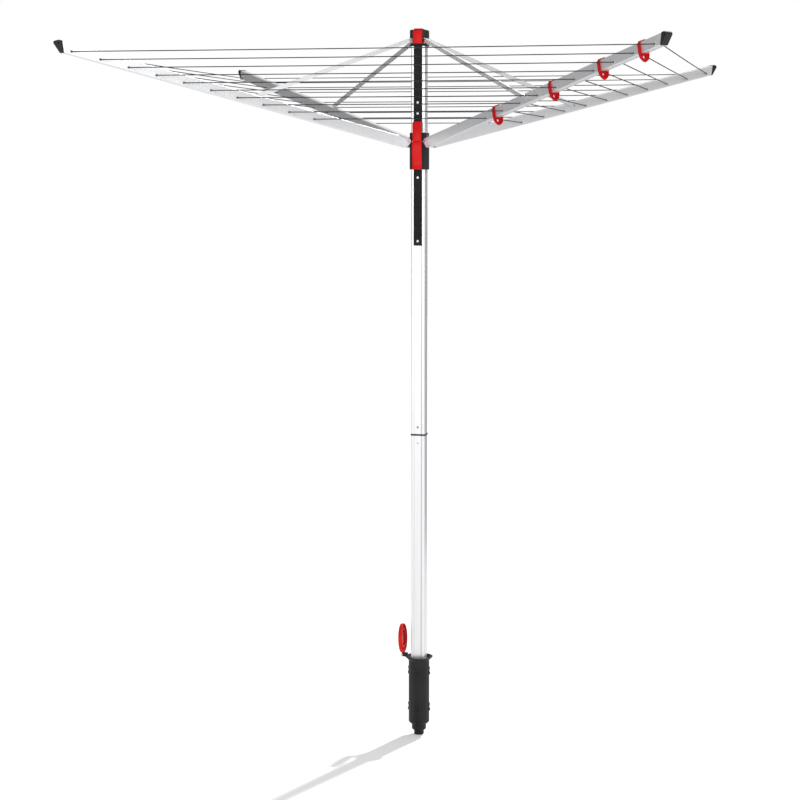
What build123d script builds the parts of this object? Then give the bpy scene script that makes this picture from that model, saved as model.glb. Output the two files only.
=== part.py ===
from build123d import *
import math
import os

os.makedirs("parts", exist_ok=True)

# Rotary clothesline, opened out. Origin on the mast's axis at ground level, +Z up.
# The rack and the release lever face -Y; the four arms stand at 45 degrees to X and Y.

# Driving dimensions, mm and degrees

MAST = 50.0                 # side of the square mast profile
MAST_CORNER = 4.5
MAST_WALL = 2.0
MAST_BOTTOM = -240.0        # below ground, in the socket
JOINT_Z = 817.0             # where the two mast halves meet
MAST_TOP = 2222.0

SOCKET_BORE = 34.5          # radii of the ground socket
SOCKET_BARREL = 38.0
SOCKET_RIM = 50.0
SOCKET_BOTTOM = -291.0
FOOT_CUP = 21.0             # radius of the cup that the mast's foot turns in
FIN_TOPS = (-37.0, -172.0)  # tops of the two rows of barbed fins

LID_RADIUS = 53.0
LID_HINGE = (-60.0, 4.0)    # x and z of the lid's hinge pin
LID_OPEN = 93.0             # how far the lid stands open

ARM_AZIMUTHS = {"front_left": 225, "front_right": 315, "back_right": 45, "back_left": 135}
ARM_TILT = 12.75            # the arms' rise above the horizontal when open
ARM_PIVOT = (54.7, 1862.0)  # radius and height of the arm pivots
ARM_TOP, ARM_BOTTOM = 11.0, -24.0   # the arm tube's edges above and below its pivot
ARM_WIDTH = 25.0
ARM_WALL = 1.6
ARM_NOSE = 11.0             # radius of the tube's rounded inner end
ARM_END = (1322.0, 1309.0)  # the tube's outer end, along its top and bottom edges
LINE_PITCH = 100.0
LINE_COUNT = 10
FIRST_HOLE = 386.0          # first line hole, from the pivot
HOLE_DROP = -14.2           # the row of line holes, below the pivot
LINE_RADIUS = 1.7

STRUT_TOP = (41.5, -1.5, 2212.0)    # radius, offset beside the arm's plane, height
STRUT_REACH = 620.0         # from the arm pivot to the strut's foot, along the arm
STRUT_OFFSET = -27.0        # the strut's foot beside the arm's middle plane
STRUT_H, STRUT_W, STRUT_WALL = 14.0, 7.0, 1.0

RUNNER = 61.0               # side of the sliding hub
RUNNER_CORNER = 9.0
RUNNER_BOTTOM, RUNNER_TOP = 1763.0, 1892.0
GLIDE_GAP = 0.2             # between a glide pad and the mast
LUG_HALF = 10.6             # half thickness of the lugs that the arms straddle

RACK_WIDTH = 30.0
RACK_DEPTH = 4.5
RACK_BOTTOM, RACK_SPLIT, RACK_TOP = 1495.0, 1978.0, 2193.0
RIB_PITCH = 10.0
RACK_SCREWS = (1510.6, 1734.7, 1958.8, 1997.2)

LEVER_BOTTOM, LEVER_NECK, LEVER_TOP = 1763.0, 1861.0, 1931.0
LEVER_BACK = -37.5          # y of the lever's back
LEVER_PIN_Y = -35.0
GRIP_GROOVES = (1784.0, 1791.0)     # heights of the grooves across the lever's grip

CAP_SIDE = 62.0
CAP_CORNER = 15.0
CAP_CORE = 56.0
CAP_SKIRT, CAP_WAIST, CAP_HOOD, CAP_TOP = 2193.0, 2203.0, 2221.0, 2250.0

SNAP_Z = 844.5
SNAP_RADIUS = 4.0
RIVET = 3.0                 # radius of the arm rivets
STRUT_RIVET = 2.5
RUNNING_FIT = 0.06          # radial clearance of a pin that turns in its hole

CLIP_PLACES = (438.0, 758.0, 1018.0, 1218.0)    # the hanger clips along the front right arm
CLIP_THICK = 7.0

FRONT = -MAST / 2           # y of the mast's front flat
RACK_FACE = FRONT - RACK_DEPTH


# Helpers

def block(x0, x1, y0, y1, z0, z1):
    """A box between two corners."""
    size = (x1 - x0, y1 - y0, z1 - z0)
    return Pos((x0 + x1) / 2, (y0 + y1) / 2, (z0 + z1) / 2) * Box(*size)


def rod(radius, start, end):
    """A cylinder between two points."""
    a, b = Vector(*start), Vector(*end)
    plane = Plane(origin=a, z_dir=b - a)
    return extrude(plane * Circle(radius), (b - a).length)


def turned(points):
    """A solid of revolution about Z, from (radius, z) points."""
    return revolve(Plane.XZ * make_face(Polyline(*points, close=True)), Axis.Z)


def column(side, corner, z0, z1):
    """An upright square bar with rounded corners."""
    face = Plane.XY.offset(z0) * RectangleRounded(side, side, corner)
    return extrude(face, z1 - z0)


def side_plate(face, half_width):
    """A face drawn in X and Z, thickened to both sides of Y = 0."""
    return extrude(face, half_width, both=True)


def joined(solids):
    """Separate solids as one group."""
    return Compound(children=[s for shape in solids for s in shape.solids()])


def save(name, shape):
    shape.label = name
    export_step(shape, f"parts/{name}.step")


def arm_frame(azimuth):
    """From an arm's own frame (X along it from the pivot, Z its depth) to the row's."""
    return Rot(0, 0, azimuth) * Pos(ARM_PIVOT[0], 0, ARM_PIVOT[1]) * Rot(0, -ARM_TILT, 0)


tilt = math.radians(ARM_TILT)


def on_arm(along, depth):
    """Radius and height of a point of an arm's middle plane."""
    radius = ARM_PIVOT[0] + along * math.cos(tilt) - depth * math.sin(tilt)
    height = ARM_PIVOT[1] + along * math.sin(tilt) + depth * math.cos(tilt)
    return radius, height


foot_radius, foot_height = on_arm(STRUT_REACH, 0)
strut_run = foot_radius - STRUT_TOP[0]
strut_side = STRUT_OFFSET - STRUT_TOP[1]
strut_drop = STRUT_TOP[2] - foot_height
strut_skew = math.degrees(math.atan2(strut_side, strut_run))
strut_slope = math.degrees(math.atan2(strut_drop, math.hypot(strut_run, strut_side)))
strut_length = math.sqrt(strut_run**2 + strut_side**2 + strut_drop**2)


def strut_frame(azimuth):
    """From a strut's own frame (X along it from its top pivot) to the row's."""
    return Rot(0, 0, azimuth) * Pos(*STRUT_TOP) * Rot(0, 0, strut_skew) * Rot(0, strut_slope, 0)


# Ground socket and its lid

def ground_socket():
    barrel, rim = SOCKET_BARREL, SOCKET_RIM
    outer = [(0, SOCKET_BOTTOM), (16, SOCKET_BOTTOM), (18, -288), (18, -277), (26, -270),
             (26, -248), (33, -248), (barrel, -242), (barrel, -14), (rim - 2.5, -3), (rim, -2), (rim, 0),
             (0, 0)]
    body = turned(outer)
    for top in FIN_TOPS:
        outline = [(barrel - 3, top + 1), (barrel + 1, top), (barrel + 4, top - 7), (barrel + 1.5, top - 9),
                   (barrel + 1.5, top - 20), (barrel + 4, top - 22), (barrel + 4, top - 28),
                   (barrel + 1, top - 30), (barrel - 3, top - 31)]
        fin = side_plate(make_face(Plane.XZ * Polyline(*outline, close=True)), 2)
        for turn in range(0, 360, 90):
            body += Rot(0, 0, turn) * fin
    for side in (-1, 1):
        lug = block(LID_HINGE[0], -SOCKET_RIM + 6, 9.5, 13.5, -2.0, LID_HINGE[1] + 4)
        lug += rod(4, (LID_HINGE[0], 9.5, LID_HINGE[1]), (LID_HINGE[0], 13.5, LID_HINGE[1]))
        body += lug if side > 0 else mirror(lug, Plane.XZ)
    mouth = [(0, 12), (SOCKET_BORE + 8, 12), (SOCKET_BORE + 8, -2), (SOCKET_BORE, -10), (0, -10)]
    body -= turned(mouth)
    body -= Pos(0, 0, -120) * Cylinder(SOCKET_BORE, 246)
    body -= Pos(0, 0, -253) * Cylinder(FOOT_CUP, 30)
    body -= Pos(0, 0, -275) * Cylinder(12, 20)
    body -= Pos(0, 0, -285) * Cylinder(4, 30)
    pin_hole = rod(1.75, (LID_HINGE[0], -20, LID_HINGE[1]), (LID_HINGE[0], 20, LID_HINGE[1]))
    return body - pin_hole


def socket_lid():
    reach = -LID_HINGE[0]
    disc = Pos(reach, 0, 1) * Cylinder(LID_RADIUS, 3)
    disc += Pos(reach, 0, -3.5) * (Cylinder(LID_RADIUS, 8) - Cylinder(LID_RADIUS - 2.5, 8))
    disc += Pos(reach, 0, -3) * (Cylinder(34.5, 6) - Cylinder(32, 6))
    for turn in range(0, 360, 45):
        web = Pos(reach, 0, 0) * Rot(0, 0, turn) * block(34, LID_RADIUS - 2, -0.9, 0.9, -4, 0)
        disc += web
    disc += block(-1, reach - LID_RADIUS + 4, -9, 9, -3.5, 2.5)
    disc += rod(4, (0, -9, 0), (0, 9, 0))
    disc -= rod(1.5 + RUNNING_FIT + 0.25, (0, -12, 0), (0, 12, 0))
    return Pos(LID_HINGE[0], 0, LID_HINGE[1]) * Rot(0, -LID_OPEN, 0) * disc


def lid_hinge_pin():
    pin = rod(1.75, (LID_HINGE[0], -14.5, LID_HINGE[1]), (LID_HINGE[0], 13.5, LID_HINGE[1]))
    return pin + rod(3, (LID_HINGE[0], -15.5, LID_HINGE[1]), (LID_HINGE[0], -13.5, LID_HINGE[1]))


# Mast

def mast_tube(z0, z1):
    tube = column(MAST, MAST_CORNER, z0, z1)
    tube -= column(MAST - 2 * MAST_WALL, MAST_CORNER - 2, z0 - 1, z1 + 1)
    middle, height = (z0 + z1) / 2, z1 - z0 + 2
    for turn in range(4):
        for offset in (-17.5, 17.5):
            groove = Pos(offset, -MAST / 2, middle) * Box(1.8, 1.6, height)
            tube -= Rot(0, 0, 90 * turn) * groove
    return tube


def screw_hole(z):
    return rod(1.8, (0, FRONT - 10, z), (0, FRONT + 4, z))


def mast_upper():
    tube = mast_tube(JOINT_Z + 3, MAST_TOP)
    for z in RACK_SCREWS:
        tube -= screw_hole(z)
    return tube - rod(SNAP_RADIUS + RUNNING_FIT, (0, FRONT - 5, SNAP_Z), (0, FRONT + 6, SNAP_Z))


def mast_lower():
    return mast_tube(MAST_BOTTOM, JOINT_Z - 3) - rod(2.5, (0, FRONT - 5, 787.3), (0, FRONT + 6, 787.3))


def joint_insert():
    inside = MAST - 2 * MAST_WALL
    sleeve = column(inside, MAST_CORNER - 2, JOINT_Z - 110, JOINT_Z + 110)
    sleeve -= column(inside - 5, 2, JOINT_Z - 111, JOINT_Z + 111)
    sleeve -= rod(SNAP_RADIUS + RUNNING_FIT, (0, FRONT - 5, SNAP_Z), (0, FRONT + 6, SNAP_Z))
    return sleeve - rod(2.5, (0, FRONT - 5, 787.3), (0, FRONT + 6, 787.3))


def joint_gasket():
    ring = column(MAST + 4, MAST_CORNER + 2, JOINT_Z - 3, JOINT_Z + 3)
    ring = fillet(ring.edges().filter_by(GeomType.LINE, reverse=True) + ring.edges().filter_by(
        Axis.Z, reverse=True).filter_by(GeomType.LINE), 1.4)
    return ring - column(MAST - 2 * MAST_WALL, MAST_CORNER - 2, JOINT_Z - 4, JOINT_Z + 4)


def joint_rivet():
    shank = rod(2.5, (0, FRONT, 787.3), (0, FRONT + 5, 787.3))
    head = rod(3.6, (0, FRONT - 1.0, 787.3), (0, FRONT, 787.3))
    return shank + head


def snap_button():
    button = rod(SNAP_RADIUS, (0, FRONT - 3, SNAP_Z), (0, FRONT + 5, SNAP_Z))
    button = chamfer(button.edges().group_by(Axis.Y)[0], 1.2)
    return button + rod(SNAP_RADIUS + 2, (0, FRONT + 5, SNAP_Z), (0, FRONT + 6.5, SNAP_Z))


def snap_spring():
    start, thick = FRONT + 6.8, 0.8
    path = FilletPolyline((0, start, SNAP_Z - 8), (0, start, SNAP_Z + 8), (0, 0, SNAP_Z + 60),
                          (0, -start - 1, SNAP_Z + 8), (0, -start - 1, SNAP_Z - 8), radius=4)
    strip = Plane(origin=(0, start, SNAP_Z - 8), z_dir=(0, 0, 1)) * Rectangle(8, thick)
    leaf = sweep(strip, path)
    return Pos(0, thick / 2, 0) * leaf


def mast_foot():
    inside = MAST - 2 * MAST_WALL
    plug = column(inside, MAST_CORNER - 2, MAST_BOTTOM, MAST_BOTTOM + 40)
    plug -= column(inside - 6, 2, MAST_BOTTOM + 6, MAST_BOTTOM + 41)
    plate = Pos(0, 0, MAST_BOTTOM - 1) * Cylinder(33, 2)
    spigot = Pos(0, 0, -254) * Cylinder(FOOT_CUP - RUNNING_FIT, 26)
    return plug + plate + chamfer(spigot.edges().group_by(Axis.Z)[0], 2)


def mast_collar():
    ring = Pos(0, 0, -25) * Cylinder(SOCKET_BORE - RUNNING_FIT, 34)
    return ring - column(MAST, MAST_CORNER, -43, -7)


def rack(z0, z1):
    strip = block(-RACK_WIDTH / 2, RACK_WIDTH / 2, RACK_FACE, FRONT, z0, z1)
    strip = chamfer(strip.edges().filter_by(Axis.Z).group_by(Axis.Y)[0], 1.0)
    first = math.ceil((z0 + 6) / RIB_PITCH) * RIB_PITCH
    z = first
    while z < z1 - 6:
        if all(abs(z - screw) > 11 for screw in RACK_SCREWS):
            strip -= block(-11, 11, RACK_FACE - 1, RACK_FACE + 2, z - 3.2, z + 3.2)
        z += RIB_PITCH
    for screw in RACK_SCREWS:
        if z0 < screw < z1:
            strip -= screw_hole(screw)
            strip -= rod(4.2, (0, RACK_FACE - 1, screw), (0, RACK_FACE + 2.2, screw))
    return strip


def rack_screw(z):
    head = rod(3.9, (0, RACK_FACE + 0.4, z), (0, RACK_FACE + 2.2, z))
    head -= Pos(0, RACK_FACE + 0.4, z) * (Box(1, 1.6, 5) + Box(5, 1.6, 1))
    return head + rod(1.8, (0, RACK_FACE + 2, z), (0, FRONT + 3.5, z))


# Top cap

def top_cap():
    cap = column(CAP_CORE, 10, CAP_SKIRT, CAP_HOOD + 1)
    hood = column(CAP_SIDE, CAP_CORNER, CAP_HOOD, CAP_TOP)
    hood = fillet(hood.edges().group_by(Axis.Z)[-1], 5)
    skirt_face = Plane.XY.offset(CAP_SKIRT) * RectangleRounded(CAP_SIDE + 2, CAP_SIDE + 2, CAP_CORNER)
    skirt = extrude(skirt_face, CAP_WAIST - CAP_SKIRT - 2, taper=20)
    cap += hood + skirt
    for azimuth in ARM_AZIMUTHS.values():
        reach = STRUT_TOP[0]
        tongue = block(26, reach, -2.2, 2.2, -5.5, 5.5) + rod(5.5, (reach, -2.2, 0), (reach, 2.2, 0))
        tongue -= rod(STRUT_RIVET + RUNNING_FIT + 0.12, (reach, -5, 0), (reach, 5, 0))
        room = block(reach - 9, reach + 20, -7, 7, -9.5, 9)
        place = Rot(0, 0, azimuth) * Pos(0, STRUT_TOP[1], STRUT_TOP[2])
        cap -= place * room
        cap -= place * block(reach - 7.8, reach + 20, -7, 7, -20, -9)
        cap += place * tongue
    cap -= column(MAST, MAST_CORNER, CAP_SKIRT - 1, MAST_TOP)
    cap -= cap_panel(0.0)
    return cap


def cap_panel(proud):
    """The red insert: down the cap's front and over its top."""
    front = -CAP_SIDE / 2
    panel = block(-16.5, 16.5, front - proud, front + 2, CAP_WAIST - 2, CAP_TOP - 5)
    top = block(-15, 15, front + 5, 15, CAP_TOP - 2, CAP_TOP + 2 * proud)
    bridge = block(-16.5, 16.5, front, front + 8, CAP_TOP - 8, CAP_TOP - 2)
    return panel + top + bridge


def top_cap_insert():
    panel = cap_panel(2.0)
    return fillet(panel.edges().group_by(Axis.Z)[-1], 1.8)


# Runner and release lever

def runner_body():
    body = column(RUNNER, RUNNER_CORNER, RUNNER_BOTTOM, RUNNER_TOP)
    body = chamfer(body.edges().group_by(Axis.Z)[-1] + body.edges().group_by(Axis.Z)[0], 1.5)
    housing = block(-19.5, 19.5, LEVER_BACK + 1.2, -20, RUNNER_BOTTOM, RUNNER_TOP - 6)
    housing = chamfer(housing.edges().filter_by(Axis.Z).group_by(Axis.Y)[0], 2)
    body += housing
    for azimuth in ARM_AZIMUTHS.values():
        lug = block(30, ARM_PIVOT[0], -LUG_HALF, LUG_HALF, -8.5, 8.5)
        lug += rod(8.5, (ARM_PIVOT[0], -LUG_HALF, 0), (ARM_PIVOT[0], LUG_HALF, 0))
        body += Rot(0, 0, azimuth) * Pos(0, 0, ARM_PIVOT[1]) * lug
    for azimuth in ARM_AZIMUTHS.values():
        bore = rod(RIVET + RUNNING_FIT, (ARM_PIVOT[0], -20, 0), (ARM_PIVOT[0], 20, 0))
        body -= Rot(0, 0, azimuth) * Pos(0, 0, ARM_PIVOT[1]) * bore
    body -= column(MAST + 2.4, MAST_CORNER, RUNNER_BOTTOM - 1, RUNNER_TOP + 1)
    slot = block(-RACK_WIDTH / 2 - 1, RACK_WIDTH / 2 + 1, RACK_FACE - 1, -20, RUNNER_BOTTOM - 1, RUNNER_TOP + 1)
    window = block(-11, 11, LEVER_BACK - 2, -28, 1822, 1848)
    spring_pocket = rod(5, (0, LEVER_BACK - 2, 1795), (0, RACK_FACE - 2.2, 1795))
    hinge_room = block(-15, 15, LEVER_BACK - 2, RACK_FACE - 2.2, LEVER_NECK - 6, LEVER_NECK + 6)
    tongue_room = block(-20, 20, LEVER_BACK - 2, LEVER_BACK + 4.6, LEVER_NECK + 5, RUNNER_TOP + 1)
    body -= slot + window + spring_pocket + hinge_room + tongue_room
    pin_hole = rod(2, (-25, LEVER_PIN_Y, LEVER_NECK), (25, LEVER_PIN_Y, LEVER_NECK))
    return body - pin_hole


def runner_glides():
    inner, outer = MAST / 2 + GLIDE_GAP, MAST / 2 + 1.2
    pads = []
    for z in (RUNNER_BOTTOM + 18, RUNNER_TOP - 18):
        for turn in (0, 90, 180):
            pad = block(inner, outer, -14, 14, z - 12, z + 12)
            pads.append(Rot(0, 0, turn) * pad)
    return joined(pads)


def lever_pin():
    return rod(2, (-19.5, LEVER_PIN_Y, LEVER_NECK), (19.5, LEVER_PIN_Y, LEVER_NECK))


def lever_front():
    """The lever's side outline, in Y and Z: a flat tongue above its neck, a finger grip below."""
    back = LEVER_BACK - 0.3
    upper = Polyline((back, LEVER_NECK), (back, LEVER_TOP - 3), (back - 2, LEVER_TOP), (back - 4, LEVER_TOP),
                     (back - 6.5, LEVER_TOP - 4), (back - 6, LEVER_NECK + 8), (back - 5.5, LEVER_NECK))
    lower = Spline((back - 5.5, LEVER_NECK), (back - 8, LEVER_NECK - 14), (back - 7.5, 1815),
                   (back - 4.2, 1790), (back - 8.2, LEVER_BOTTOM + 2))
    toe = Polyline((back - 8.2, LEVER_BOTTOM + 2), (back - 7, LEVER_BOTTOM), (back, LEVER_BOTTOM),
                   (back, LEVER_NECK))
    return make_face(Plane.YZ * (upper + lower + toe))


def release_lever():
    body = extrude(lever_front(), 20, both=True)
    points = [(-16.8, LEVER_BOTTOM - 1), (-16.8, LEVER_NECK - 3), (-15.8, LEVER_NECK - 1),
              (-15.8, LEVER_TOP - 4), (-12, LEVER_TOP + 1)]
    points += [(-x, z) for x, z in reversed(points)]
    front_view = extrude(Plane.XZ * make_face(Polyline(*points, close=True)), 60, both=True)
    body &= front_view
    body -= block(-20, 20, LEVER_BACK - 9, LEVER_BACK - 2.2, LEVER_NECK - 1.2, LEVER_NECK + 1.2)
    for z in GRIP_GROOVES:
        body -= block(-20, 20, LEVER_BACK - 12, LEVER_BACK - 7.2, z - 1, z + 1)
    knuckle = rod(3.2, (-12, LEVER_PIN_Y, LEVER_NECK), (12, LEVER_PIN_Y, LEVER_NECK))
    knuckle += block(-12, 12, LEVER_BACK - 2, LEVER_PIN_Y, LEVER_NECK - 3.2, LEVER_NECK + 3.2)
    body += knuckle
    return body - rod(2 + RUNNING_FIT, (-20, LEVER_PIN_Y, LEVER_NECK), (20, LEVER_PIN_Y, LEVER_NECK))


def latch_pawl():
    return block(-9, 9, LEVER_BACK - 0.3, RACK_FACE - 0.3, 1832, 1838)


def lever_spring():
    length = RACK_FACE - 2.4 - LEVER_BACK
    turns, wire = 4, 0.5
    path = Helix(pitch=(length - 2 * wire) / turns, height=length - 2 * wire, radius=3.2)
    section = Plane(origin=path @ 0, z_dir=path % 0) * Circle(wire)
    coil = sweep(section, path)
    return Pos(0, LEVER_BACK + wire, 1795) * Rot(-90, 0, 0) * coil


# Arms, in their own frame

def hole_places():
    return [FIRST_HOLE + LINE_PITCH * i for i in range(LINE_COUNT)]


def arm_tube():
    middle, depth = (ARM_TOP + ARM_BOTTOM) / 2, ARM_TOP - ARM_BOTTOM
    end = Plane(origin=(-20, 0, middle), x_dir=(0, 1, 0), z_dir=(1, 0, 0))
    outer = extrude(end * RectangleRounded(ARM_WIDTH, depth, 2.5), 1360)
    hollow = (ARM_WIDTH - 2 * ARM_WALL, depth - 2 * ARM_WALL)
    inner = extrude(end * RectangleRounded(*hollow, 1.2), 1360)
    outline = [(0, ARM_TOP), (ARM_END[0], ARM_TOP), (ARM_END[1], ARM_BOTTOM), (5, ARM_BOTTOM), (-8.2, -7.3)]
    side = make_face(Plane.XZ * Polyline(*outline, close=True)) + Plane.XZ * Circle(ARM_NOSE)
    tube = (outer & side_plate(side, ARM_WIDTH)) - inner
    tube -= block(-20, 10.5, -LUG_HALF - 0.3, LUG_HALF + 0.3, ARM_TOP - 3, ARM_TOP + 5)
    for along in hole_places():
        tube -= rod(3.8, (along, -20, HOLE_DROP), (along, 20, HOLE_DROP))
    tube -= rod(RIVET, (0, -20, 0), (0, 20, 0))
    return tube - rod(RIVET, (STRUT_REACH, -20, 0), (STRUT_REACH, 0, 0))


def arm_end_cap():
    proud = 0.6
    top, bottom = ARM_TOP + proud, ARM_BOTTOM - proud
    slant = proud * (ARM_END[0] - ARM_END[1]) / (ARM_TOP - ARM_BOTTOM)
    shell = make_face(Plane.XZ * Polyline(
        (ARM_END[0] + slant, top), (1333, top), (1340, 7), (1342, 1), (1314, bottom),
        (ARM_END[1] - slant, bottom), close=True))
    body = side_plate(shell, ARM_WIDTH / 2 + proud)
    body = fillet(body.edges().filter_by(Axis.Y).group_by(Axis.X)[-1], 4)
    body = fillet(body.faces().sort_by(Axis.X)[-1].edges(), 1.2)
    hollow = (ARM_WIDTH - 2 * ARM_WALL, ARM_TOP - ARM_BOTTOM - 2 * ARM_WALL)
    middle = (ARM_TOP + ARM_BOTTOM) / 2
    end = Plane(origin=(1291, 0, middle), x_dir=(0, 1, 0), z_dir=(1, 0, 0))
    plug = extrude(end * RectangleRounded(*hollow, 1.2), 18)
    body += plug
    return body - rod(2.6, (1334, -20, 1), (1334, 20, 1))


def eyelet():
    """One grommet, its axis along Y and its flange against the arm's side face."""
    ring = turned([(2.7, -ARM_WALL - 0.5), (3.8, -ARM_WALL - 0.5), (3.8, 0), (5.4, 0), (5.0, 0.9), (3.6, 1.0),
                   (2.7, 0.4)])
    return Rot(-90, 0, 0) * ring


def arm_eyelets():
    ring, rings = eyelet(), []
    for along in hole_places():
        for turn in (0, 180):
            side = 1 if turn == 0 else -1
            rings.append(Pos(along, side * ARM_WIDTH / 2, HOLE_DROP) * Rot(0, 0, turn) * ring)
    return joined(rings)


def rivet(radius, head, low, high):
    """A rivet along Y, with a domed head outside each end."""
    shank = rod(radius, (0, low, 0), (0, high, 0))
    for y, way in ((low, -1), (high, 1)):
        disc = rod(head, (0, y, 0), (0, y + way * 1.4, 0))
        edge = disc.edges().group_by(Axis.Y)[0 if way < 0 else -1]
        shank += chamfer(edge, 0.8)
    return shank


def arm_rivets():
    half = ARM_WIDTH / 2
    pivot = rivet(RIVET, 5.5, -half, half)
    inner_face = STRUT_OFFSET + STRUT_W / 2
    spacer = rod(6, (0, inner_face + 0.4, 0), (0, -half, 0))
    spacer += rod(RIVET, (0, -half, 0), (0, -half + ARM_WALL, 0))
    spacer += rod(4.5, (0, -half + ARM_WALL, 0), (0, -half + ARM_WALL + 1.2, 0))
    return joined([pivot, Pos(STRUT_REACH, 0, 0) * spacer])


def hanger_clip():
    """A hook plate across the arm: over its top edge, down its side, an eye below."""
    side, half = -ARM_WIDTH / 2, ARM_WIDTH / 2
    points = [(5, ARM_TOP), (10, 21.5), (-4, 17), (side - 3, 13.5), (side - 8.5, 4), (side - 8.5, -24),
              (side - 5, -38), (-6, -49), (3, -50), (half + 1, -42), (half + 5, -30), (half + 5.5, -18),
              (half + 2, -18.5), (half, ARM_BOTTOM), (side, ARM_BOTTOM), (side, ARM_TOP)]
    plate = extrude(Plane.YZ * make_face(Polyline(*points, close=True)), CLIP_THICK / 2, both=True)
    corners = [e for e in plate.edges().filter_by(Axis.X) if e.center().Z < -35 or e.center().Y < side - 8]
    plate = fillet(corners, 4)
    faces = plate.faces().sort_by(Axis.X)
    plate = chamfer(faces[0].edges() + faces[-1].edges(), 0.8)
    return plate - rod(5, (-20, -4, -35), (20, -4, -35))


# Drying line: half of each span rides on either arm, so that the arms can fold

def line_half(along, side):
    radius, height = on_arm(along, HOLE_DROP)
    lead = ARM_WIDTH / 2 + 1.5
    half_span = (radius - lead) / 2 - 0.07
    route = FilletPolyline((radius, 0.1 * side, height), (radius, side * lead, height),
                           (radius - half_span, side * (lead + half_span), height), radius=8)
    section = Plane(origin=route @ 0, z_dir=route % 0) * Circle(LINE_RADIUS)
    return sweep(section, route)


def drying_lines():
    return joined([line_half(along, side) for along in hole_places() for side in (-1, 1)])


# Struts, in their own frame

def strut():
    bar = Pos(strut_length / 2, 0, 0) * Rot(90, 0, 0) * extrude(
        SlotCenterToCenter(strut_length, STRUT_H), STRUT_W / 2, both=True)
    inside = STRUT_W / 2 - STRUT_WALL
    channel = block(-20, strut_length + 20, -inside, inside, -STRUT_H, STRUT_H / 2 - STRUT_WALL)
    bar -= channel
    bar -= rod(STRUT_RIVET, (0, -10, 0), (0, 10, 0))
    return bar - rod(STRUT_RIVET, (strut_length, -10, 0), (strut_length, 10, 0))


def strut_rivets():
    half = STRUT_W / 2
    top = rivet(STRUT_RIVET, 4.5, -half, half)
    foot = rod(STRUT_RIVET, (0, -half, 0), (0, half, 0))
    foot += chamfer(rod(4.5, (0, -half, 0), (0, -half - 1.4, 0)).edges().group_by(Axis.Y)[0], 0.8)
    return joined([top, Pos(strut_length, 0, 0) * foot])


# Write every node

save("ground_socket", ground_socket())
save("socket_lid", socket_lid())
save("lid_hinge_pin", lid_hinge_pin())
save("mast_lower", mast_lower())
save("mast_upper", mast_upper())
save("joint_insert", joint_insert())
save("joint_gasket", joint_gasket())
save("joint_rivet", joint_rivet())
save("snap_button", snap_button())
save("snap_spring", snap_spring())
save("mast_foot", mast_foot())
save("mast_collar", mast_collar())
save("rack_lower", rack(RACK_BOTTOM, RACK_SPLIT))
save("rack_upper", rack(RACK_SPLIT, RACK_TOP))
save("rack_screws", joined([rack_screw(z) for z in RACK_SCREWS]))
save("top_cap", top_cap())
save("top_cap_insert", top_cap_insert())
save("runner_body", runner_body())
save("runner_glides", runner_glides())
save("release_lever", release_lever())
save("lever_pin", lever_pin())
save("lever_spring", lever_spring())
save("latch_pawl", latch_pawl())

arm_parts = {"arm_tube": arm_tube(), "arm_end_cap": arm_end_cap(), "arm_eyelets": arm_eyelets(),
             "arm_rivets": arm_rivets()}
strut_parts = {"strut": strut(), "strut_rivets": strut_rivets()}
lines = drying_lines()
clip = hanger_clip()

for place, azimuth in ARM_AZIMUTHS.items():
    for name, shape in arm_parts.items():
        save(f"{name}_{place}", arm_frame(azimuth) * shape)
    for name, shape in strut_parts.items():
        save(f"{name}_{place}", strut_frame(azimuth) * shape)
    save(f"drying_lines_{place}", Rot(0, 0, azimuth) * lines)

clips = joined([Pos(along, 0, 0) * clip for along in CLIP_PLACES])
save("hanger_clips", arm_frame(ARM_AZIMUTHS["front_right"]) * clips)

print(f"strut: {strut_length:.1f} mm, {strut_slope:.2f} degrees down, skew {strut_skew:.2f}")
print(f"line length: {8 * sum((on_arm(a, HOLE_DROP)[0] - 14) / math.sqrt(2) for a in hole_places()) / 1000:.2f} m")
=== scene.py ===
# %% [markdown]
# # A rotary clothesline
# A rotary clothesline is a square aluminium mast that turns in a socket in the lawn. Four arms fold out
# from a hub that slides on the mast, short struts hold them up, and one long line is strung in ten rows
# from arm to arm. The engineer's model already holds every rigid piece at its true size, so this lesson
# loads it as a fixed frame and gives the pieces what a solid model lacks: softened plastic edges, real
# line, and a finish for each material.

# %% Load the frame
import math

import bpy
import bmesh
from mathutils import Matrix, Vector


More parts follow.
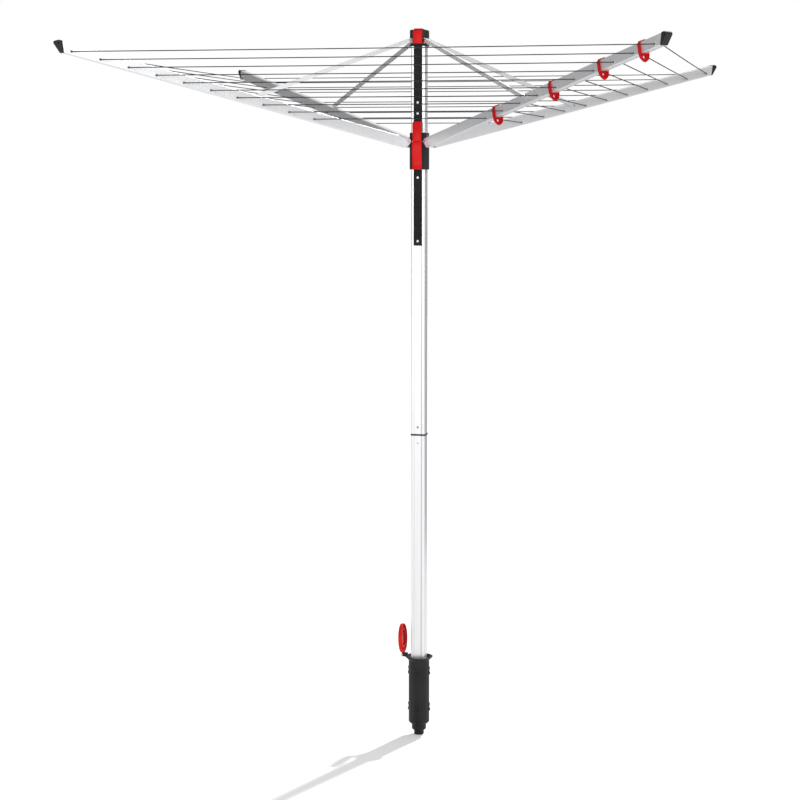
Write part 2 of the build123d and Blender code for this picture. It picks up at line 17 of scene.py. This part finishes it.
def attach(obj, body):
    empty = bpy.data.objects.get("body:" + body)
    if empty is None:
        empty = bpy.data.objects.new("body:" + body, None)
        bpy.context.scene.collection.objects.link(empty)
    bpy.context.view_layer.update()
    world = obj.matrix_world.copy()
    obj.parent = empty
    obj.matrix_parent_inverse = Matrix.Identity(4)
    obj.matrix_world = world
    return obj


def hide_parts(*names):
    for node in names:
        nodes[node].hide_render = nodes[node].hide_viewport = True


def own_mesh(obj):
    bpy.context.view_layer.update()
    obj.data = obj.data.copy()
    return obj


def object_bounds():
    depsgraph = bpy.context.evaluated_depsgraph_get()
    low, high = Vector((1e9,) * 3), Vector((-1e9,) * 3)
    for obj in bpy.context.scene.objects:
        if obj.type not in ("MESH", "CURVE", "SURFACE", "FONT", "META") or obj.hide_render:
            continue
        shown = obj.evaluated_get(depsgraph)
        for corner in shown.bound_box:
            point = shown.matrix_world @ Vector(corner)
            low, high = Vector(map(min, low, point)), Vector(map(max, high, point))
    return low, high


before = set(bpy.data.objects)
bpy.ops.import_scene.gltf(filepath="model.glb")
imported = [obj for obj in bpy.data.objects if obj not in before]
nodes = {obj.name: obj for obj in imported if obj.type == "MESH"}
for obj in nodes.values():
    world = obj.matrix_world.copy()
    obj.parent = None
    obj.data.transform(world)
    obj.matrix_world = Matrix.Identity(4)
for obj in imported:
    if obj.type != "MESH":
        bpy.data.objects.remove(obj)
cad_box = [[float(v) for v in corner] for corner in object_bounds()]
bpy.context.scene.view_settings.view_transform = "Standard"
print("pieces in the frame:", len(nodes))

# %% [markdown]
# ## Names and helpers
# The arms are named by the corner that they reach to. Every later cell takes one arm's direction from
# this table, so that a thing is modelled once, along one arm, and then turned to its place. A new
# primitive is selected all over, and operators act on whatever is selected, so each step starts by
# deselecting everything.

# %% The four arms and small helpers
ARM_AZIMUTHS = {"front_left": 225, "front_right": 315, "back_right": 45, "back_left": 135}
CAMERA_AZIMUTH = 12.445


def only(*objects):
    """Selects just these objects, the first of them active."""
    bpy.ops.object.select_all(action="DESELECT")
    for thing in objects:
        thing.select_set(True)
    bpy.context.view_layer.objects.active = objects[0]


def settle(thing, angle=40):
    """Puts a finished piece's place into its mesh and smooths its gentle edges."""
    only(thing)
    bpy.ops.object.transform_apply(location=True, rotation=True, scale=True)
    bpy.ops.object.shade_smooth_by_angle(angle=math.radians(angle))
    return thing


def soften(name, width, angle=40):
    """A copy of one of the frame's pieces, its facets joined and its sharp edges rounded."""
    solid = nodes[name]
    piece = bpy.data.objects.new("soft_" + name, solid.data.copy())
    bpy.context.scene.collection.objects.link(piece)
    piece.matrix_world = solid.matrix_world.copy()
    only(piece)
    bpy.ops.object.mode_set(mode="EDIT")
    bpy.ops.mesh.select_all(action="SELECT")
    bpy.ops.mesh.remove_doubles(threshold=0.000002)
    bpy.ops.mesh.dissolve_limited(angle_limit=math.radians(0.5))
    bpy.ops.object.mode_set(mode="OBJECT")
    bpy.ops.object.modifier_add(type="BEVEL")
    bevel = piece.modifiers[-1]
    bevel.width, bevel.segments = width, 2
    bevel.limit_method, bevel.angle_limit = "ANGLE", math.radians(angle)
    bpy.ops.object.modifier_apply(modifier=bevel.name)
    return settle(piece, 35)


def dress(thing, material):
    """Gives a piece one material all over."""
    thing.data.materials.clear()
    thing.data.materials.append(material)


# %% [markdown]
# ## Shader maths in Python
# A finish is a network of nodes, and long networks are hard to read as boxes. This small class wraps a
# socket, so that sums on it are written as ordinary Python and each operator adds its own Math node. The
# second class holds one material, makes any other node in one call, and connects the results to the
# shader.

# %% A socket that can be added and multiplied
class Value:
    def __init__(self, tree, socket):
        self.tree, self.socket = tree, socket

    def math(self, operation, other=None, swapped=False):
        node = self.tree.nodes.new("ShaderNodeMath")
        node.operation = operation
        terms = [other, self] if swapped else [self, other]
        for slot, term in zip(node.inputs, terms):
            if isinstance(term, Value):
                self.tree.links.new(term.socket, slot)
            elif term is not None:
                slot.default_value = term
        return Value(self.tree, node.outputs[0])

    def __add__(self, other):
        return self.math("ADD", other)

    def __sub__(self, other):
        return self.math("SUBTRACT", other)

    def __mul__(self, other):
        return self.math("MULTIPLY", other)

    def __truediv__(self, other):
        return self.math("DIVIDE", other)

    def __pow__(self, other):
        return self.math("POWER", other)

    def __radd__(self, other):
        return self.math("ADD", other, swapped=True)

    def __rsub__(self, other):
        return self.math("SUBTRACT", other, swapped=True)

    def __rmul__(self, other):
        return self.math("MULTIPLY", other, swapped=True)

    def __rtruediv__(self, other):
        return self.math("DIVIDE", other, swapped=True)

    def __rpow__(self, other):
        return self.math("POWER", other, swapped=True)

    def step(self, low, high):
        """0 below low, 1 above high, smooth between."""
        node = self.tree.nodes.new("ShaderNodeMapRange")
        node.interpolation_type = "SMOOTHSTEP"
        self.tree.links.new(self.socket, node.inputs["Value"])
        node.inputs["From Min"].default_value, node.inputs["From Max"].default_value = low, high
        return Value(self.tree, node.outputs["Result"])


# %% One finish
class Finish:
    def __init__(self, name):
        self.material = bpy.data.materials.new(name)
        self.material.use_nodes = True
        self.tree = self.material.node_tree
        self.shader = self.tree.nodes["Principled BSDF"]

    def feed(self, socket, value):
        if isinstance(value, Value):
            self.tree.links.new(value.socket, socket)
        else:
            socket.default_value = value

    def node(self, kind, settings=None, inputs=None, output=0):
        """Any node: its settings first, then the values or links of its sockets."""
        made = self.tree.nodes.new("ShaderNode" + kind)
        for key, value in (settings or {}).items():
            setattr(made, key, value)
        for key, value in (inputs or {}).items():
            self.feed(made.inputs[key], value)
        return Value(self.tree, made.outputs[output])

    def place(self, scale=(1, 1, 1), turn=(0, 0, 0)):
        """Object coordinates in metres, stretched and turned."""
        where = self.node("TexCoord", output="Object")
        return self.node("Mapping", inputs={"Vector": where, "Scale": scale, "Rotation": turn})

    def noise(self, where, scale, detail=3.0, rough=0.5):
        return self.node("TexNoise", inputs={"Vector": where, "Scale": scale, "Detail": detail,
                                             "Roughness": rough})

    def tint(self, amount, low, high):
        """A colour between two, by amount."""
        return self.node("Mix", {"data_type": "RGBA"}, {"Factor": amount, 6: low, 7: high}, output=2)

    def bump(self, height, distance, strength=1.0):
        return self.node("Bump", inputs={"Height": height, "Distance": distance, "Strength": strength})

    def surface(self, **values):
        for key, value in values.items():
            self.feed(self.shader.inputs[key.replace("_", " ").title().replace("Ior", "IOR")], value)
        return self.material


print("helpers ready")

# %% [markdown]
# ## Camera, floor and light
# A long lens from seven metres away keeps the mast straight and the arms in true proportion. The floor
# lies just under the socket's tip, because the socket is shown out of the ground. Its colour is painted
# darker where glossy rays see it: a painted reflection that greys the metal where it mirrors the floor.
# The light is a bright room: a pale sky all round, one wide lamp from the front right, a small one on the
# left, and a sun from behind that lays the mast's thin shadow towards the viewer. Dark cards behind and on
# the left, which only reflections see, give the pale metal its grey edges.

# %% Camera
CAMERA_DISTANCE, CAMERA_HEIGHT = 6.9645, 1.7625     # metres
CAMERA_PITCH, CAMERA_ROLL = 6.7317, 0.053           # degrees
LENS, LENS_SHIFT = 87.82, -0.02406
turn = math.radians(CAMERA_AZIMUTH)
bpy.ops.object.camera_add(
    location=(CAMERA_DISTANCE * math.sin(turn), -CAMERA_DISTANCE * math.cos(turn), CAMERA_HEIGHT),
    rotation=(math.radians(90 - CAMERA_PITCH), 0, turn))
camera = bpy.context.object
camera.rotation_euler.rotate_axis("Z", math.radians(CAMERA_ROLL))
camera.data.sensor_width = 36
camera.data.lens = LENS
camera.data.shift_x = LENS_SHIFT
camera.data.clip_end = 60
bpy.context.scene.camera = camera
print("camera at", [round(v, 2) for v in camera.location])

# %% Floor
FLOOR_Z = cad_box[0][2] - 0.0005
bpy.ops.mesh.primitive_plane_add(size=40, location=(0, 0, FLOOR_Z))
floor = bpy.context.object
floor.name = "studio_floor"
paper = Finish("white studio floor")
# Painted reflection: the floor is a darker grey to glossy rays than to the camera.
seen_in_reflections = paper.node("LightPath", output="Is Glossy Ray")
dress(floor, paper.surface(base_color=paper.tint(seen_in_reflections, (0.90, 0.90, 0.90, 1), (0.68, 0.68, 0.68, 1)),
                           roughness=0.9, specular_ior_level=0.0, emission_color=(1, 1, 1, 1),
                           emission_strength=0.08))
settle(floor)

# %% Light
SKY_LIGHT, SKY_SEEN = 0.46, 1.0     # the sky's strength as light, and as the camera sees it
LAMP_AIM, LAMP_SHINE = Vector((0, 0, 1.2)), 0.3
SUN_FALLS = Vector((-0.321, -0.947, -0.86))
world = bpy.data.worlds.new("bright room")
world.use_nodes = True
sky = world.node_tree
backdrop = sky.nodes["Background"]
backdrop.inputs["Color"].default_value = (1, 1, 1, 1)
seen = sky.nodes.new("ShaderNodeLightPath")
level = sky.nodes.new("ShaderNodeMapRange")
level.inputs["To Min"].default_value, level.inputs["To Max"].default_value = SKY_LIGHT, SKY_SEEN
sky.links.new(seen.outputs["Is Camera Ray"], level.inputs["Value"])
sky.links.new(level.outputs["Result"], backdrop.inputs["Strength"])
bpy.context.scene.world = world


def lamp(name, size, power, azimuth, height, distance):
    """A square lamp that faces the object, azimuth counted from the front towards the right."""
    way = math.radians(azimuth)
    place = Vector((distance * math.sin(way), -distance * math.cos(way), height))
    facing = (LAMP_AIM - place).to_track_quat("-Z", "Y").to_euler()
    bpy.ops.object.light_add(type="AREA", location=place, rotation=facing)
    light = bpy.context.object
    light.name = name
    light.data.size, light.data.energy = size, power
    light.data.specular_factor = LAMP_SHINE


lamp("front_right_lamp", 3.0, 150, 38, 3.2, 5.5)
lamp("front_left_lamp", 2.0, 60, -8, 2.2, 6.2)


def card(name, place, size, facing):
    """A dark card that only reflections see."""
    bpy.ops.mesh.primitive_plane_add(size=1, location=place, rotation=(math.radians(90), 0, math.radians(facing)))
    sheet = bpy.context.object
    sheet.name, sheet.scale = name, (*size, 1)
    dress(sheet, Finish(name).surface(base_color=(0.05, 0.05, 0.05, 1), roughness=1.0, specular_ior_level=0.0,
                                      emission_color=(1, 1, 1, 1), emission_strength=0.1))
    settle(sheet)
    sheet.visible_camera = sheet.visible_diffuse = sheet.visible_shadow = False


card("back_card", (0.9, 3.4, 1.4), (2.6, 3.4), 0)
card("left_card", (-3.8, 0.8, 2.0), (3.0, 2.6), 90)
bpy.ops.object.light_add(type="SUN", rotation=SUN_FALLS.to_track_quat("-Z", "Y").to_euler())
sun = bpy.context.object
sun.data.energy = 3.4
sun.data.angle = math.radians(2.5)
print("lights ready")

# %% [markdown]
# ## Aluminium
# The mast and arms are extruded, so the die leaves faint lines along each bar, and anodising turns the
# metal silky and pale. The pattern is a noise stretched a hundred times along the bar. Lines run along Z
# on the mast, but along its own length on each arm, so the arm's finish turns the coordinates first. The
# lines feed a little roughness and a hair of bump, never a strong colour. The mast also has a long groove
# on each side of the rack, cut in as a slight bump, with the shade in it painted as a dark line across X:
# painted shade, strong on one side and faint on the other.

# %% Aluminium finishes
def extruded(name, tone, turn, rough, metal=1.0, shaded_grooves=()):
    finish = Finish(name)
    along = finish.place(scale=(1, 1, 0.012), turn=turn)
    lines = finish.noise(along, 900, 2, 0.55)
    broad = finish.noise(along, 90, 2, 0.5)
    clouds = finish.noise(finish.place(), 6, 4, 0.6)
    dark = tuple(c * 0.93 for c in tone[:3]) + (1,)
    streak = (lines * 0.5 + broad * 0.5).step(0.3, 0.7)
    colour = finish.tint(streak * 0.7 + clouds * 0.3, dark, tone)
    height = lines
    for across, depth_and_shade in shaded_grooves:
        where = finish.node("SeparateXYZ", inputs={"Vector": finish.node("TexCoord", output="Object")})
        groove_and_shade = (1 - (where - across).math("ABSOLUTE").step(0.0005, 0.0017)) * depth_and_shade
        # Painted shade: the groove's dark line goes into the colour, stronger on one side than the other.
        colour = finish.tint(groove_and_shade * 0.75, colour, (0.10, 0.10, 0.11, 1))
        height = height - groove_and_shade * 8
    return finish.surface(base_color=colour, metallic=metal,
                          roughness=rough + (lines - 0.5) * 0.1 + clouds * 0.04,
                          normal=finish.bump(height, 0.00003, 0.4))


def arm_turn(azimuth, rise=12.75):
    """The turn that brings an arm's length onto Z, for its grain."""
    upright = Matrix.Rotation(math.radians(rise - 90), 4, "Y") @ Matrix.Rotation(math.radians(-azimuth), 4, "Z")
    return tuple(upright.to_euler("XYZ"))


MAST_TONE = (0.84, 0.845, 0.855, 1)
ARM_TONE = (0.74, 0.745, 0.76, 1)
# Each groove: place across the mast, and strength of its bump and of its painted shade.
SHADED_GROOVES = ((0.0132, 1.0), (-0.0132, 0.3))   # place across the mast, and strength
mast_metal = extruded("anodised mast", MAST_TONE, (0, 0, 0), 0.34, 0.8, SHADED_GROOVES)
arm_metals = {place: extruded("anodised arm " + place, ARM_TONE, arm_turn(azimuth), 0.36, 0.75)
              for place, azimuth in ARM_AZIMUTHS.items()}
strut_metals = {place: extruded("anodised strut " + place, ARM_TONE, arm_turn(azimuth, -19.15), 0.38, 0.75)
                for place, azimuth in ARM_AZIMUTHS.items()}
print("aluminium:", 1 + len(arm_metals) + len(strut_metals), "finishes")

# %% [markdown]
# ## Plastics
# The hub, cap, socket and rack are black moulded plastic with a fine spark-eroded grain: tiny soft pits,
# and a sheen that changes slightly from place to place. The red pieces come from a polished mould, so
# they are smoother and catch a clear highlight, with only a slow waviness in the surface. A pigment is
# never quite even either, so the colour moves by a few percent.

# %% Plastic finishes
def moulded(name, deep, light, rough, grain, pits, coat=0.0, shine=0.2):
    finish = Finish(name)
    where = finish.place()
    fine = finish.noise(where, grain, 3, 0.6)
    slow = finish.noise(where, 14, 3, 0.5)
    colour = finish.tint(slow.step(0.3, 0.7) * 0.8 + fine * 0.2, deep + (1,), light + (1,))
    return finish.surface(base_color=colour, roughness=rough + (slow - 0.5) * 0.12 + (fine - 0.5) * 0.1,
                          normal=finish.bump(fine + slow * 0.3, pits, 0.5), coat_weight=coat, coat_roughness=0.12,
                          specular_ior_level=shine)


black_plastic = moulded("black grained plastic", (0.010, 0.010, 0.0105), (0.017, 0.017, 0.018),
                        0.46, 700, 0.00008)
rack_plastic = moulded("black rack plastic", (0.008, 0.008, 0.0085), (0.014, 0.014, 0.015),
                       0.5, 800, 0.00006, shine=0.12)
red_plastic = moulded("red polished plastic", (0.50, 0.006, 0.006), (0.58, 0.009, 0.009),
                      0.34, 220, 0.00001, shine=0.12)
clip_plastic = moulded("deep red clip plastic", (0.33, 0.001, 0.003), (0.40, 0.002, 0.005),
                       0.34, 220, 0.00001, shine=0.12)
grey_plastic = moulded("grey smooth plastic", (0.24, 0.24, 0.25), (0.30, 0.30, 0.31), 0.4, 500, 0.00004)
white_plastic = moulded("grey-white nylon", (0.42, 0.42, 0.42), (0.50, 0.50, 0.50), 0.42, 500, 0.00004)

# %% [markdown]
# ## Steel and line
# The small steel parts are zinc plated, which leaves a bright, slightly mottled skin. The line is a cord
# in a smooth coat of dark plastic: along it the coat has slow bright and dull patches, and the cord's
# twist shows through as faint slanting ridges. Those follow the line's own length, so each line carries a
# UV map.

# %% Steel and line finishes
def plated():
    finish = Finish("zinc plated steel")
    flakes = finish.node("TexVoronoi", inputs={"Vector": finish.place(), "Scale": 420.0}, output="Distance")
    mottle = finish.noise(finish.place(), 160, 3, 0.6)
    colour = finish.tint(mottle, (0.42, 0.42, 0.43, 1), (0.66, 0.66, 0.67, 1))
    return finish.surface(base_color=colour, metallic=1.0, roughness=0.28 + flakes * 0.12 + mottle * 0.08,
                          normal=finish.bump(flakes, 0.00002, 0.3))


def coated_line():
    finish = Finish("coated line")
    around = finish.node("UVMap", {"uv_map": "along"})
    parts = finish.tree.nodes.new("ShaderNodeSeparateXYZ")
    finish.tree.links.new(around.socket, parts.inputs[0])
    length, girth = Value(finish.tree, parts.outputs["X"]), Value(finish.tree, parts.outputs["Y"])
    twist = ((length * 90 + girth) * (2 * math.pi * 3)).math("SINE")
    patches = finish.noise(finish.place(), 9, 3, 0.6)
    colour = finish.tint(patches.step(0.35, 0.7), (0.007, 0.0075, 0.009, 1), (0.018, 0.019, 0.022, 1))
    return finish.surface(base_color=colour, roughness=0.34 + patches * 0.14, specular_ior_level=0.25,
                          normal=finish.bump(twist, 0.00012, 0.5))


steel = plated()
line_coat = coated_line()
print("finishes made:", len(bpy.data.materials))

# %% Finishes on the frame's own pieces
WEARS = {
    "ground_socket": black_plastic, "socket_lid": red_plastic, "lid_hinge_pin": steel, "mast_lower": mast_metal,
    "mast_upper": mast_metal, "joint_insert": mast_metal, "joint_gasket": black_plastic, "joint_rivet": steel,
    "snap_button": grey_plastic, "snap_spring": steel, "mast_foot": black_plastic, "mast_collar": black_plastic,
    "rack_lower": rack_plastic, "rack_upper": rack_plastic, "rack_screws": steel, "top_cap": black_plastic,
    "top_cap_insert": red_plastic, "runner_body": black_plastic, "runner_glides": grey_plastic,
    "release_lever": red_plastic, "lever_pin": steel, "lever_spring": steel, "latch_pawl": steel,
    "hanger_clips": clip_plastic,
}
for place in ARM_AZIMUTHS:
    WEARS["arm_tube_" + place] = arm_metals[place]
    WEARS["arm_end_cap_" + place] = black_plastic
    WEARS["arm_eyelets_" + place] = white_plastic
    WEARS["arm_rivets_" + place] = steel
    WEARS["strut_" + place] = strut_metals[place]
    WEARS["strut_rivets_" + place] = steel
for name, material in WEARS.items():
    dress(nodes[name], material)
print("dressed:", len(WEARS), "of", len(nodes))

# %% [markdown]
# ## Softened mouldings
# The engineer's edges are perfectly sharp, and no moulded edge is: a small radius catches the light and
# tells the eye that the piece is plastic. Each moulded piece is copied, the copy's facets are joined back
# into whole faces, and its sharp edges are bevelled. The copy then stands in for the sharp one on the
# same moving body.

# %% Soft copies of the mouldings
SOFT = {
    "ground_socket": ("socket", 0.0006), "socket_lid": ("lid", 0.0004), "joint_gasket": ("mast", 0.0004),
    "top_cap": ("mast", 0.0008), "top_cap_insert": ("mast", 0.0004), "runner_body": ("runner", 0.0008),
    "release_lever": ("lever", 0.0006), "hanger_clips": ("arm_front_right", 0.0003),
}
SOFT.update({"arm_end_cap_" + place: ("arm_" + place, 0.0004) for place in ARM_AZIMUTHS})
for name, (body, width) in SOFT.items():
    piece = soften(name, width)
    dress(piece, WEARS[name])
    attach(piece, body)
    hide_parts(name)
    print(piece.name, "faces:", len(piece.data.polygons))

# %% [markdown]
# ## The drying line
# The real line is one cord, strung taut through an eyelet in every arm, ten times round. When the arms
# fold, it goes slack and hangs beside them. To let the arms fold, each span is made as two halves that
# meet in the middle, one riding on either arm, and the ten halves on one side of an arm are one piece.
# Each half is a curve with a round section: it starts inside the arm, leaves the eyelet square to the
# arm, turns towards the next arm and sags by a millimetre or two.

# %% Where the lines run
ARM_PIVOT = (0.0547, 1.862)
ARM_RISE = math.radians(12.75)
FIRST_HOLE, LINE_PITCH, LINE_COUNT = 0.386, 0.100, 10
HOLE_DROP = -0.0142
LINE_RADIUS = 0.0017
EYELET_MOUTH = 0.0140
SAG = 0.0015


def hole(row):
    """Radius and height of a line hole."""
    along = FIRST_HOLE + LINE_PITCH * row
    return (ARM_PIVOT[0] + along * math.cos(ARM_RISE) - HOLE_DROP * math.sin(ARM_RISE),
            ARM_PIVOT[1] + along * math.sin(ARM_RISE) + HOLE_DROP * math.cos(ARM_RISE))


def half_span(row, side):
    """Points of one half span in the arm's directions: outward, sideways, up."""
    radius, height = hole(row)
    reach = radius - EYELET_MOUTH
    dip = SAG * (reach / 1.3) ** 2
    points = [(radius, 0, height), (radius, side * (EYELET_MOUTH - 0.004), height)]
    for share in (0.006, 0.25, 0.5, 0.75, 1.0):
        step = reach / 2 * share
        points.append((radius - step, side * (EYELET_MOUTH + step), height - dip * (2 * share - share**2)))
    return points


# %% One arm's line, then the other seven
def make_lines(place, side):
    path = bpy.data.curves.new("line", "CURVE")
    path.dimensions = "3D"
    path.bevel_depth, path.bevel_resolution, path.resolution_u = LINE_RADIUS, 1, 3
    turn = Matrix.Rotation(math.radians(ARM_AZIMUTHS[place]), 4, "Z")
    for row in range(LINE_COUNT):
        spline = path.splines.new("NURBS")
        points = half_span(row, side)
        spline.points.add(len(points) - 1)
        for point, where in zip(spline.points, points):
            point.co = (*(turn @ Vector(where)), 1)
        spline.order_u, spline.use_endpoint_u = 3, True
    piece = bpy.data.objects.new(f"line_{place}_{'left' if side > 0 else 'right'}", path)
    bpy.context.scene.collection.objects.link(piece)
    only(piece)
    bpy.ops.object.convert(target="MESH")
    return piece


def map_line(piece):
    """A UV map that runs along each line in metres and once round it."""
    layer = piece.data.uv_layers.new(name="along")
    for face in piece.data.polygons:
        for corner in face.loop_indices:
            spot = piece.data.vertices[piece.data.loops[corner].vertex_index].co
            layer.data[corner].uv = (math.hypot(spot.x, spot.y), spot.z * 300)


drying = {}
for place, azimuth in ARM_AZIMUTHS.items():
    outward = Vector((math.cos(math.radians(azimuth)), math.sin(math.radians(azimuth)), 0))
    sideways = Vector((-outward.y, outward.x, 0))
    for side in (1, -1):
        piece = make_lines(place, side)
        map_line(piece)
        dress(piece, line_coat)
        settle(piece, 60)
        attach(piece, "arm_" + place)
        radius, height = hole(0)
        anchor = radius * outward + side * EYELET_MOUTH * sideways + Vector((0, 0, height))
        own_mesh(piece)
        drying.setdefault(place, []).append(piece)
for place, pieces in drying.items():
    for piece in pieces:
        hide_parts("drying_lines_" + place)
print("line pieces:", sum(len(v) for v in drying.values()))
